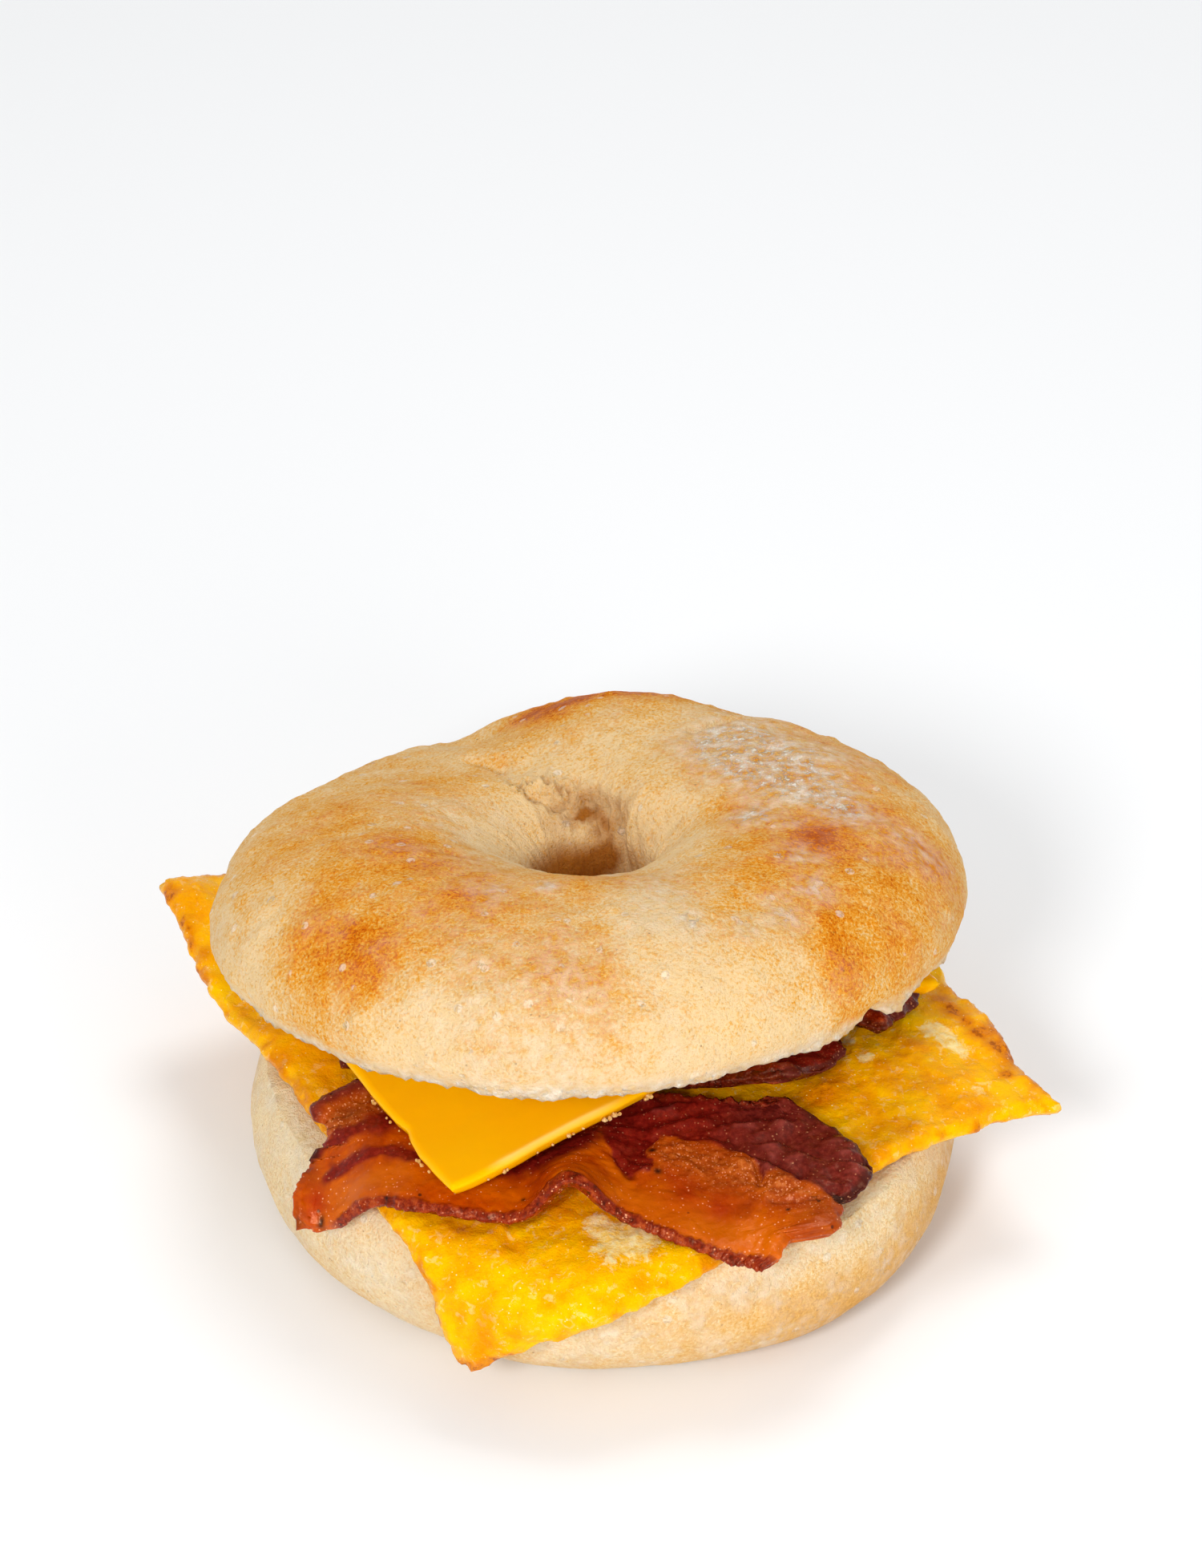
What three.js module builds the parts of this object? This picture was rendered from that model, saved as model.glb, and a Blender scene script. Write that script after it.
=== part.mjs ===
// A filled breakfast bagel, in millimetres with +Z up.
//
// The lower half of the bagel lies on its flat base. On it are a square sheet of egg whose corners
// stick out and hang over the side, three bacon strips side by side, and a slice of cheese. The upper
// half sits on top, pushed back and tipped back. The layers rest on each other with a small gap.
//
// Every height below is measured from the base, and every plan position from the lower half's centre.
// The last lines move the whole so that its bounding box is centred on the origin.

import * as THREE from "three";

// ---------------------------------------------------------------- driving dimensions

const WHOLE = { middleX: -0.5, middleY: 5.2 }; // of the bounding box, in plan

const GAP = 0.5; // between the lower half and the egg that lies on it

const BAGEL_SIDE = { across: 0.35, up: 0.5 }; // a corner of the section below the widest ring
const CUT_FACE_STEPS = 6;

const COLOURS = {
  bagel_bottom: "#ecd2a4",
  egg_sheet: "#f9c412",
  bacon: "#9c3a1c",
  cheese_slice: "#ffab0a",
  bagel_top: "#e3b271",
};

const HEEL = {
  radius: 49.8, // at its widest
  widestAt: 9, // depth of that widest ring below the cut face
  cutRadius: 47,
  height: 21, // of the cut face above the base
  flatTrim: 0.6, // cut off the rounded underside, so that it lies flat
  crestRadius: 30, // of the ring round which the section is drawn
  holeRadius: 8,
  squareness: 2.7, // 2 is a round flank, more is a flatter base
  segments: 52,
  flankPoints: 8,
  lobes: 0.006, // how far it is from round, as a share of its radius
  flattening: { towards: 225, spread: 32, by: 0.014 },
};

const CROWN = {
  middle: new THREE.Vector3(-2.6, 11, 35.5), // centre of its cut face
  tiltDegrees: 12.5, // front edge up
  rollDegrees: 2.2, // right side up
  radius: 53,
  widestAt: 3.7, // height of the widest ring above the cut face
  cutRadius: 51.3,
  crestRadius: 29,
  height: 18.8,
  flatTrim: 0,
  holeRadius: 7.5,
  squareness: 2.15,
  segments: 60,
  flankPoints: 9,
  lobes: 0.018,
  flattening: { towards: 158, spread: 28, by: 0.025 },
  holeShift: { right: 2.4, fade: 9 }, // the hole slants to the right on its way down
  swells: [
    { towards: 80, radius: 36, spread: 13, rise: 1.6 }, // the dome where the dough ends meet
    { towards: 32, radius: 38, spread: 16, rise: 2 },
    { towards: 130, radius: 38, spread: 17, rise: -5 }, // the low stretch to the left of the dome
    { towards: 104, radius: 40, spread: 8, rise: -1.6 },
    { towards: 168, radius: 40, spread: 16, rise: -1.5 },
    { towards: 114, radius: 22, spread: 4, rise: -1.6 }, // the fold beside the dome
  ],
};

const EGG = {
  thickness: 3,
  front: new THREE.Vector2(-16.3, -59.5), // flat corners, before the sheet is draped
  right: new THREE.Vector2(62.4, -12.5),
  back: new THREE.Vector2(22, 66),
  left: new THREE.Vector2(-63.5, 31),
  frontSideWave: 3,
  frontSideBow: 1.5,
  foldRadius: 7, // of the bend over the lower half's edge
  foldStart: 46.2, // distance from the centre at which the bend starts
  hugging: { towards: -105, spread: 45 }, // where it hangs straight forward, not outward
  hangs: [
    { towards: -105, spread: 42, degrees: 75 }, // how steeply it hangs, by direction
    { towards: 80, spread: 60, degrees: 26 },
    { towards: 180, spread: 40, degrees: 8 },
    { towards: -5, spread: 30, degrees: 8 },
  ],
  leftCurl: { rise: 6, spread: 17 },
  columns: 28,
  rows: 28,
};

const CHEESE = {
  thickness: 2.7,
  corner: new THREE.Vector2(-19.4, -40.7), // the corner that shows at the front
  directionDegrees: 29.8, // of its long edge
  length: 76.5,
  depth: 52,
  level: 33.7, // of the middle of the slice, where it lies on two strips of bacon
  leftDroop: { depth: 3.7, fromX: 3, toX: -27, fromY: 15, toY: -5 },
  backSlope: 0.1636, // it follows the upper half's tilt towards the back
  columns: 16,
  rows: 12,
};

// Each strip runs from one end to the other, in plan, at a level. Its front edge is lifted in waves
// and pushed towards the back: at is the distance along the strip.
const BACON = {
  thickness: 2.3,
  waveFade: 2.4, // how fast a wave dies out from the front edge to the back edge
  endFrom: 0.5, // share of the length at which the shaping of the right end starts
  strips: {
    bacon_front: {
      from: new THREE.Vector2(-40.2, -24.2),
      to: new THREE.Vector2(36, -30.5),
      widths: [23, 27],
      level: 26.3,
      rightEnd: { frontCut: 4.5, tipAt: 0.6, backCut: 8.5 },
      waves: [
        { at: -1, spread: 7, lift: -5.3, push: 0 },
        { at: 26, spread: 6, lift: 0.3, push: -2.5 },
        { at: 36.5, spread: 5, lift: 6, push: 3 },
        { at: 57, spread: 11, lift: 0, push: -4 },
      ],
      columns: 36,
      rows: 10,
    },
    bacon_middle: {
      from: new THREE.Vector2(-35, 0.6),
      to: new THREE.Vector2(33, -6.6),
      widths: [17.5, 16.5],
      level: 26.35,
      rightEnd: { frontCut: 9, tipAt: 0.55, backCut: 6 },
      waves: [{ at: 60, spread: 14, lift: 4.5, push: -3.6 }],
      columns: 24,
      rows: 6,
    },
    bacon_back: {
      from: new THREE.Vector2(-34, 25.5),
      to: new THREE.Vector2(44, 6),
      widths: [20, 19],
      level: 26.35,
      rightEnd: { frontCut: 4, tipAt: 0.45, backCut: 3 },
      waves: [{ at: 58, spread: 22, lift: 4, push: 0 }],
      columns: 24,
      rows: 6,
    },
  },
};

// ---------------------------------------------------------------- small helpers

const radians = THREE.MathUtils.degToRad;
const degrees = THREE.MathUtils.radToDeg;
const mix = THREE.MathUtils.lerp;

/** Goes smoothly from 0 at the first value to 1 at the second, whichever is larger. */
function ramp(value, from, to) {
  const t = THREE.MathUtils.clamp((value - from) / (to - from), 0, 1);
  return t * t * (3 - 2 * t);
}

/** A smooth hump that is 1 at zero distance and fades out past its spread. */
function hump(distance, spread) {
  return Math.exp(-((distance / spread) ** 2));
}

/** A hump round one direction. Both directions are in degrees. */
function facing(direction, { towards, spread }) {
  return hump(THREE.MathUtils.euclideanModulo(direction - towards + 180, 360) - 180, spread);
}

/** The direction of a point from the axis, in degrees. */
function directionOf(x, y) {
  return degrees(Math.atan2(y, x));
}

// ---------------------------------------------------------------- bagel halves

/** One quarter of a flank, from the ring of the crest out to the widest ring. */
function flank(half, reach, squareness) {
  const points = [];
  const rise = half.height + half.flatTrim - half.widestAt;
  for (let i = 0; i <= half.flankPoints; i++) {
    const turn = ((Math.PI / 2) * i) / half.flankPoints;
    const across = Math.sin(turn) ** (2 / squareness);
    const up = Math.cos(turn) ** (2 / squareness);
    const height = Math.min(half.height, half.widestAt + rise * up);
    points.push(new THREE.Vector2(half.crestRadius + reach * across, height));
  }
  return points;
}

/** The closed section of a bagel half as [radius, distance from its cut face]. */
function halfSection(half) {
  const outer = flank(half, half.radius - half.crestRadius, half.squareness);
  const inner = flank(half, half.holeRadius - half.crestRadius, 2);
  const sideRadius = mix(half.radius, half.cutRadius, BAGEL_SIDE.across);
  const side = new THREE.Vector2(sideRadius, half.widestAt * BAGEL_SIDE.up);
  const cutFace = [];
  for (let i = 0; i <= CUT_FACE_STEPS; i++) {
    const radius = mix(half.cutRadius, half.holeRadius, i / CUT_FACE_STEPS);
    cutFace.push(new THREE.Vector2(radius, 0));
  }
  const section = [...outer, side, ...cutFace, ...inner.slice(1).reverse()];
  section.push(section[0].clone());
  return section.reverse();
}

/** A bagel half as a ring with its cut face at height zero, before it is sculpted. */
function ringGeometry(half) {
  const geometry = new THREE.LatheGeometry(halfSection(half), half.segments);
  geometry.rotateX(Math.PI / 2);
  return geometry;
}

/** Moves every vertex by the sculpting function, which changes the point it is given. */
function sculpted(geometry, sculpt) {
  const place = geometry.getAttribute("position");
  const point = new THREE.Vector3();
  for (let i = 0; i < place.count; i++) {
    point.fromBufferAttribute(place, i);
    sculpt(point);
    place.setXYZ(i, point.x, point.y, point.z);
  }
  return geometry;
}

/** How far from round a half is in one direction, as a factor on the radius. */
function outline(half, direction) {
  const lobes = half.lobes * Math.cos(radians(4 * direction));
  return 1 + lobes - half.flattening.by * facing(direction, half.flattening);
}

/** Shapes the upper half in its own frame, cut face at height zero. */
function sculptCrown(point) {
  const round = outline(CROWN, directionOf(point.x, point.y));
  const level = point.z / CROWN.height;
  const fromHole = Math.hypot(point.x, point.y) - CROWN.holeRadius;
  point.x *= round;
  point.y *= round;
  for (const { towards, radius, spread, rise } of CROWN.swells) {
    const dx = point.x - radius * Math.cos(radians(towards));
    const dy = point.y - radius * Math.sin(radians(towards));
    point.z += rise * level * hump(Math.hypot(dx, dy), spread);
  }
  point.x += CROWN.holeShift.right * hump(fromHole, CROWN.holeShift.fade) * (1 - level);
}

/** Shapes the lower half where it lies. */
function sculptHeel(point) {
  const round = outline(HEEL, directionOf(point.x, point.y));
  point.x *= round;
  point.y *= round;
}

function crownGeometry() {
  const geometry = sculpted(ringGeometry(CROWN), sculptCrown);
  geometry.rotateY(-radians(CROWN.rollDegrees));
  geometry.rotateX(-radians(CROWN.tiltDegrees));
  geometry.translate(CROWN.middle.x, CROWN.middle.y, CROWN.middle.z);
  return geometry;
}

function heelGeometry() {
  const geometry = ringGeometry(HEEL);
  geometry.rotateX(Math.PI);
  geometry.translate(0, 0, HEEL.height);
  return sculpted(geometry, sculptHeel);
}

// ---------------------------------------------------------------- sheets

/** The vertices of both faces of a sheet, thickness / 2 to either side of its middle surface. */
function sheetFaces(columns, rows, thickness, middle) {
  const step = 1e-3;
  const here = new THREE.Vector3();
  const alongA = new THREE.Vector3();
  const alongB = new THREE.Vector3();
  const top = [];
  const bottom = [];
  for (let j = 0; j <= rows; j++) {
    for (let i = 0; i <= columns; i++) {
      const a = i / columns;
      const b = j / rows;
      middle(a, b, here);
      middle(a + step, b, alongA);
      middle(a, b + step, alongB);
      const normal = alongA.sub(here).cross(alongB.sub(here)).normalize();
      top.push(...here.clone().addScaledVector(normal, thickness / 2));
      bottom.push(...here.clone().addScaledVector(normal, -thickness / 2));
    }
  }
  return [...top, ...bottom];
}

/** The grid points round the rim of a sheet, in order, as indices into its top face. */
function rimOf(columns, rows) {
  const rim = [];
  const at = (i, j) => j * (columns + 1) + i;
  for (let i = 0; i < columns; i++) rim.push(at(i, 0));
  for (let j = 0; j < rows; j++) rim.push(at(columns, j));
  for (let i = columns; i > 0; i--) rim.push(at(i, rows));
  for (let j = rows; j > 0; j--) rim.push(at(0, j));
  return rim;
}

/**
 * A closed solid round a curved middle surface. middle(a, b, target) gives that surface for a and b
 * from 0 to 1, and both faces are split into triangles alike.
 */
function sheetGeometry({ columns, rows }, thickness, middle) {
  const under = (columns + 1) * (rows + 1);
  const faces = [];
  for (let j = 0; j < rows; j++) {
    for (let i = 0; i < columns; i++) {
      const p = j * (columns + 1) + i;
      const q = p + 1;
      const s = p + columns + 1;
      const r = s + 1;
      faces.push(p, q, s, q, r, s);
      faces.push(under + p, under + s, under + q, under + q, under + s, under + r);
    }
  }
  const rim = rimOf(columns, rows);
  rim.forEach((from, k) => {
    const to = rim[(k + 1) % rim.length];
    faces.push(from, under + from, under + to, from, under + to, to);
  });
  const vertices = sheetFaces(columns, rows, thickness, middle);
  const geometry = new THREE.BufferGeometry();
  geometry.setAttribute("position", new THREE.Float32BufferAttribute(vertices, 3));
  geometry.setIndex(faces);
  geometry.computeVertexNormals();
  return geometry;
}

// ---------------------------------------------------------------- egg

/** A point of the sheet laid flat: a quadrilateral with a wavy front side. */
function eggFlat(a, b) {
  const frontSide = EGG.front.clone().lerp(EGG.right, a);
  const backSide = EGG.left.clone().lerp(EGG.back, a);
  const outward = EGG.right.clone().sub(EGG.front).rotateAround(new THREE.Vector2(), -Math.PI / 2);
  const wave = EGG.frontSideWave * Math.sin(2 * Math.PI * a);
  const bow = EGG.frontSideBow * Math.sin(Math.PI * a);
  frontSide.addScaledVector(outward.normalize(), wave + bow);
  return frontSide.lerp(backSide, b);
}

/** The middle surface of the egg sheet, bent over the edge of the lower half. */
function eggMiddle(a, b, target) {
  const level = HEEL.height + GAP + EGG.thickness / 2;
  const flat = eggFlat(a, b);
  const direction = directionOf(flat.x, flat.y);
  const forward = facing(direction, EGG.hugging);
  const outwardX = mix(flat.x / flat.length(), 0, forward);
  const outwardY = mix(flat.y / flat.length(), -1, forward);
  const edgeY = Math.sqrt(Math.max(0, EGG.foldStart ** 2 - flat.x ** 2));
  const past = Math.max(0, mix(flat.length() - EGG.foldStart, -flat.y - edgeY, forward));
  const steepness = Math.max(...EGG.hangs.map((hang) => hang.degrees * facing(direction, hang)));
  const hang = radians(steepness);
  const bent = Math.min(past, EGG.foldRadius * hang);
  const turn = bent / EGG.foldRadius;
  const out = EGG.foldRadius * Math.sin(turn) + (past - bent) * Math.cos(hang);
  const drop = EGG.foldRadius * (1 - Math.cos(turn)) + (past - bent) * Math.sin(hang);
  const curl = EGG.leftCurl.rise * hump(flat.distanceTo(EGG.left), EGG.leftCurl.spread);
  target.set(
    flat.x + outwardX * (out - past),
    flat.y + outwardY * (out - past),
    level - drop + curl,
  );
}

// ---------------------------------------------------------------- cheese

/** The middle surface of the cheese slice, which follows what it lies on. */
function cheeseMiddle(a, b, target) {
  const { corner, length, depth, leftDroop, backSlope } = CHEESE;
  const turn = radians(CHEESE.directionDegrees);
  const x = corner.x + a * length * Math.cos(turn) - b * depth * Math.sin(turn);
  const y = corner.y + a * length * Math.sin(turn) + b * depth * Math.cos(turn);
  const left = ramp(x, leftDroop.fromX, leftDroop.toX) * ramp(y, leftDroop.fromY, leftDroop.toY);
  target.set(x, y, CHEESE.level - leftDroop.depth * left - backSlope * Math.max(0, y));
}

// ---------------------------------------------------------------- bacon

/** How much shorter than its tip a strip's right end is, across its width. */
function endCut({ frontCut, tipAt, backCut }, b) {
  return b < tipAt ? frontCut * (1 - b / tipAt) ** 2 : backCut * ((b - tipAt) / (1 - tipAt)) ** 2;
}

/** The middle surface of a strip, with b running from its front edge to its back edge. */
function baconMiddle(strip, a, b, target) {
  const run = strip.to.clone().sub(strip.from);
  const length = run.length();
  run.normalize();
  const along = a * length - endCut(strip.rightEnd, b) * ramp(a, BACON.endFrom, 1);
  const toFront = Math.max(0, 1 - b);
  let across = (b - 0.5) * mix(strip.widths[0], strip.widths[1], a);
  let height = strip.level;
  for (const { at, spread, lift, push } of strip.waves) {
    const here = hump(along - at, spread);
    height += lift * toFront ** BACON.waveFade * here;
    across += push * toFront * here;
  }
  target.set(
    strip.from.x + run.x * along - run.y * across,
    strip.from.y + run.y * along + run.x * across,
    height,
  );
}

function baconGeometry(strip) {
  const middle = (a, b, target) => baconMiddle(strip, a, b, target);
  return sheetGeometry(strip, BACON.thickness, middle);
}

// ---------------------------------------------------------------- assembly

function piece(name, geometry, colour, roughness) {
  const material = new THREE.MeshStandardMaterial({ color: colour, roughness, metalness: 0 });
  const mesh = new THREE.Mesh(geometry, material);
  mesh.name = name;
  return mesh;
}

const eggGeometry = sheetGeometry(EGG, EGG.thickness, eggMiddle);
const cheeseGeometry = sheetGeometry(CHEESE, CHEESE.thickness, cheeseMiddle);

const sandwich = new THREE.Group();
sandwich.add(piece("bagel_bottom", heelGeometry(), COLOURS.bagel_bottom, 0.8));
sandwich.add(piece("egg_sheet", eggGeometry, COLOURS.egg_sheet, 0.4));
for (const [name, strip] of Object.entries(BACON.strips)) {
  sandwich.add(piece(name, baconGeometry(strip), COLOURS.bacon, 0.35));
}
sandwich.add(piece("cheese_slice", cheeseGeometry, COLOURS.cheese_slice, 0.45));
sandwich.add(piece("bagel_top", crownGeometry(), COLOURS.bagel_top, 0.75));
sandwich.position.set(-WHOLE.middleX, -WHOLE.middleY, 0);

export default sandwich;
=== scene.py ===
"""A filled bagel: lower half, sheet of egg, three bacon strips, slice of cheese and upper half.

Every shape is worked out in millimetres from the lower half's centre, X right, Y back and Z up, with
the same sizes as the solids. The pieces are moved to the frame and made metres at the end.
"""

import math
from functools import partial

import bmesh
import bpy
import numpy as np
from mathutils import Matrix, Vector, noise


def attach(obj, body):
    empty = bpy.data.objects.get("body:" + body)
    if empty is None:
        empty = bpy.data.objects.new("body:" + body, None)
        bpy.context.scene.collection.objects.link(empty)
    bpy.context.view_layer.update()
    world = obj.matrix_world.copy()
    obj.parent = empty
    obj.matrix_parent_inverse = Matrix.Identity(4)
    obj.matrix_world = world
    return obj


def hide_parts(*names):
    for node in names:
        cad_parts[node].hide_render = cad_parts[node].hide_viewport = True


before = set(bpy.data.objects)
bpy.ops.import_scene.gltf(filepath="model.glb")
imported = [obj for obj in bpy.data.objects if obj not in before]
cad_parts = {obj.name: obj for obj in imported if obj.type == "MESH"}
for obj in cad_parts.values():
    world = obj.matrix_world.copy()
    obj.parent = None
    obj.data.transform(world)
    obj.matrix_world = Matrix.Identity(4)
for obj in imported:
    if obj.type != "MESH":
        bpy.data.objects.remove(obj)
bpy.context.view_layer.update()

MM = 0.001
WHOLE_MIDDLE = np.array([-0.5, 5.2, 0.0])

# a flattening is a direction in degrees, its spread and the share of the radius it takes off
HEEL = {
    "radius": 49.8,
    "widest_at": 9,
    "cut_radius": 47,
    "height": 21,
    "flat_trim": 0.6,
    "crest_radius": 30,
    "hole_radius": 8,
    "squareness": 2.7,
    "lobes": 0.006,
    "flattenings": [
        (225, 32, 0.014), (-90, 25, 0.043), (-125, 14, 0.022), (-42, 20, -0.026), (198, 14, 0.012),
    ],
}
CROWN = {
    "middle": np.array([-2.6, 11, 35.5]),
    "tilt": math.radians(12.5),
    "roll": math.radians(2.2),
    "radius": 53,
    "widest_at": 3.7,
    "cut_radius": 51.3,
    "crest_radius": 29,
    "height": 18.8,
    "flat_trim": 0,
    "hole_radius": 7.5,
    "squareness": 2.15,
    "lobes": 0.018,
    "flattenings": [(158, 28, 0.025), (178, 18, 0.028)],
}
# direction in degrees, distance from the axis, spread, rise
CROWN_SWELLS = [
    (80, 36, 13, 1.6),
    (32, 38, 16, 2),
    (130, 38, 17, -5),
    (104, 40, 8, -1.6),
    (168, 40, 16, -1.5),
    (114, 22, 4, -1.6),
]
EGG = {
    "thickness": 3,
    "front": (-16.3, -59.5),
    "right": (62.4, -12.5),
    "back": (22, 66),
    "left": (-63.5, 31),
    "fold_radius": 7,
    "fold_start": 46.2,
    "level": 23,
    "size": (106, 96),
    "rightward": (0.887, 0.463),
}
EGG_HANGS = [(-105, 42, 75), (80, 60, 26), (180, 40, 8), (-5, 30, 8)]  # direction, spread, degrees
CHEESE = {
    "thickness": 2.7,
    "corner": (-19.4, -40.7),
    "direction": math.radians(29.8),
    "length": 76.5,
    "depth": 52,
    "level": 33.7,
    "left_drop": 3.7,
    "back_slope": 0.1636,
}
BACON_THICKNESS = 2.3


# ---------------------------------------------------------------- numbers


def mix(a, b, t):
    return a + (b - a) * t


def ramp(value, start, end):
    """Goes smoothly from 0 at start to 1 at end, whichever is larger."""
    t = np.clip((value - start) / (end - start), 0, 1)
    return t * t * (3 - 2 * t)


def hump(distance, spread):
    return np.exp(-np.square(distance / spread))


def facing(direction, towards, spread):
    return hump((direction - towards + 180) % 360 - 180, spread)


def direction_of(x, y):
    return np.degrees(np.arctan2(y, x))


def spots(x, y, table):
    """The sum of round spots given as (x, y, spread, strength)."""
    return sum(s * hump(np.hypot(x - sx, y - sy), spread) for sx, sy, spread, s in table)


def groove(x, y, start, end, width):
    """1 on the line from start to end, fading out across it."""
    run = np.subtract(end, start)
    t = np.clip(((x - start[0]) * run[0] + (y - start[1]) * run[1]) / run.dot(run), 0, 1)
    return hump(np.hypot(x - start[0] - t * run[0], y - start[1] - t * run[1]), width)


def shift_of(seed):
    """Where in the noise a seed's pattern begins."""
    return Vector((seed * 17.3, seed * 31.7, seed * 7.1))


def bumps(points, size, seed, octaves=3):
    """Soft noise between about -1 and 1, with bumps about size mm apart."""
    shift = shift_of(seed)
    scaled = points / size
    return np.array([noise.fractal(Vector(p) + shift, 1.0, 2.1, octaves) for p in scaled]) * 1.6


def cells(points, size, seed):
    """Distance to the nearest of a scatter of points about size mm apart, from 0 to about 1."""
    shift = shift_of(seed)
    scaled = points / size
    return np.array([noise.voronoi(Vector(p) + shift)[0][0] for p in scaled])


def creases(points, size, seed):
    """0 along the creases between folds about size mm across, and larger towards their middles."""
    shift = shift_of(seed)
    bent = points + 0.25 * size * np.sin(points[:, [1, 2, 0]] * 2.1 / size)
    distances = np.array([noise.voronoi(Vector(p) + shift)[0][:2] for p in bent / size])
    return distances[:, 1] - distances[:, 0]


def flat_points(x, y, z=0.0):
    return np.column_stack([x, y, np.full_like(x, z)])


def unit(vectors):
    return vectors / np.linalg.norm(vectors, axis=1)[:, None]


# ---------------------------------------------------------------- meshes


def get_points(mesh):
    flat = np.empty(len(mesh.vertices) * 3)
    mesh.vertices.foreach_get("co", flat)
    return flat.reshape(-1, 3)


def set_points(mesh, points):
    mesh.vertices.foreach_set("co", np.ascontiguousarray(points, dtype=np.float32).ravel())
    mesh.update()


def get_normals(mesh):
    flat = np.empty(len(mesh.vertices) * 3)
    mesh.vertex_normals.foreach_get("vector", flat)
    return flat.reshape(-1, 3)


def emboss(mesh, heights):
    """Moves every vertex along its normal by its height in mm."""
    set_points(mesh, get_points(mesh) + get_normals(mesh) * heights[:, None])


def give(mesh, name, values):
    """Stores one number per vertex for the finishes to read."""
    layer = mesh.attributes.new(name, "FLOAT", "POINT")
    layer.data.foreach_set("value", np.clip(values, 0, 1).astype(np.float32))


def piece_from(mesh, name, node, finish):
    """Makes the finished piece, in the frame and in metres, in place of its solid."""
    set_points(mesh, (get_points(mesh) - WHOLE_MIDDLE) * MM)
    mesh.shade_smooth()
    mesh.materials.append(finish)
    piece = bpy.data.objects.new(name, mesh)
    bpy.context.scene.collection.objects.link(piece)
    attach(piece, "root")
    if node:
        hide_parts(node)
    return piece


def mesh_of(bm, name):
    mesh = bpy.data.meshes.new(name)
    bm.to_mesh(mesh)
    bm.free()
    mesh.update()
    return mesh


# ---------------------------------------------------------------- bagel halves


def flank(half, reach, squareness, count):
    turn = np.linspace(0, math.pi / 2, count)
    rise = half["height"] + half["flat_trim"] - half["widest_at"]
    radius = half["crest_radius"] + reach * np.sin(turn) ** (2 / squareness)
    height = half["widest_at"] + rise * np.clip(np.cos(turn), 0, 1) ** (2 / squareness)
    return np.column_stack([radius, np.minimum(half["height"], height)])


def evenly(line, spacing):
    """The same line with points at even distances along it."""
    steps = np.hypot(*np.diff(line, axis=0).T)
    travelled = np.concatenate([[0], np.cumsum(steps)])
    count = max(2, round(travelled[-1] / spacing) + 1)
    at = np.linspace(0, travelled[-1], count)
    return np.column_stack([np.interp(at, travelled, line[:, 0]), np.interp(at, travelled, line[:, 1])])


def half_section(half, spacing):
    """The closed section of a bagel half as (radius, distance from its cut face)."""
    outer = flank(half, half["radius"] - half["crest_radius"], half["squareness"], 400)
    inner = flank(half, half["hole_radius"] - half["crest_radius"], 2, 400)
    side_radius = mix(half["radius"], half["cut_radius"], 0.35)
    side = [(half["radius"], half["widest_at"]), (side_radius, half["widest_at"] / 2)]
    side.append((half["cut_radius"], 0))
    neck = [(half["hole_radius"], 0), (half["hole_radius"], half["widest_at"])]
    parts = [
        evenly(outer, spacing),
        evenly(np.array(side, dtype=float), spacing),
        evenly(np.array([side[-1], neck[0]], dtype=float), 2.2 * spacing),
        evenly(np.array(neck, dtype=float), spacing),
        evenly(inner[::-1], spacing),
    ]
    return np.concatenate([part[:-1] for part in parts])


def ring_mesh(half, name, spacing, steps):
    bm = bmesh.new()
    corners = [bm.verts.new((radius, 0, height)) for radius, height in half_section(half, spacing)]
    sides = [bm.edges.new((corners[i - 1], corners[i])) for i in range(len(corners))]
    bmesh.ops.spin(
        bm, geom=corners + sides, cent=(0, 0, 0), axis=(0, 0, 1), angle=2 * math.pi,
        steps=steps, use_merge=True, use_duplicate=False,
    )
    bmesh.ops.recalc_face_normals(bm, faces=bm.faces)
    return mesh_of(bm, name)


def outline(half, direction):
    """How far out the half reaches in each direction, as a share of its radius."""
    reach = 1 + half["lobes"] * np.cos(np.radians(4 * direction))
    for towards, spread, by in half["flattenings"]:
        reach = reach - by * facing(direction, towards, spread)
    return reach


def cut_face_share(half, points):
    """1 on the cut face, 0 on the crust."""
    inside = ramp(np.hypot(points[:, 0], points[:, 1]), half["cut_radius"], half["cut_radius"] - 0.8)
    return inside * ramp(points[:, 2], 0.7, 0.1)


def crown_form(points):
    """The upper half's large form in its own frame, cut face at height zero."""
    x, y, z = points.T
    z = steep_wall(x, y, z)
    round_by = outline(CROWN, direction_of(x, y))
    level = z / CROWN["height"]
    from_hole = np.hypot(x, y) - CROWN["hole_radius"]
    x, y = x * round_by, y * round_by
    for towards, radius, spread, rise in CROWN_SWELLS + CROWN_DENTS:
        away = np.hypot(
            x - radius * math.cos(math.radians(towards)),
            y - radius * math.sin(math.radians(towards)),
        )
        z = z + rise * level * hump(away, spread)
    x = x + 3 * hump(from_hole, 8) * (1 - level)
    return np.column_stack([x, y, z])


def steep_wall(x, y, z):
    """Makes the right wall of the hole stand steeper than the rest of the funnel."""
    reach = CROWN["crest_radius"] - CROWN["hole_radius"]
    inward = np.clip((CROWN["crest_radius"] - np.hypot(x, y)) / reach, 0, 1)
    power = 2 + 1.8 * facing(direction_of(x, y), 38, 30)
    steeper = (1 - inward**power) ** (1 / power) - (1 - inward**2) ** 0.5
    rise = CROWN["height"] - CROWN["widest_at"]
    return z + rise * steeper * ramp(z, CROWN["widest_at"], CROWN["widest_at"] + 0.5)


def torn_crumb(points):
    """Where the funnel's wall is torn open, and how deep each place in it lies between its lumps."""
    x, y, z = points.T
    torn = np.clip(spots(x, y, TORN), 0, 1) * ramp(z, 4, 7)
    return torn, np.abs(bumps(points * (1, 1, 0.45), 2, 7))


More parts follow.
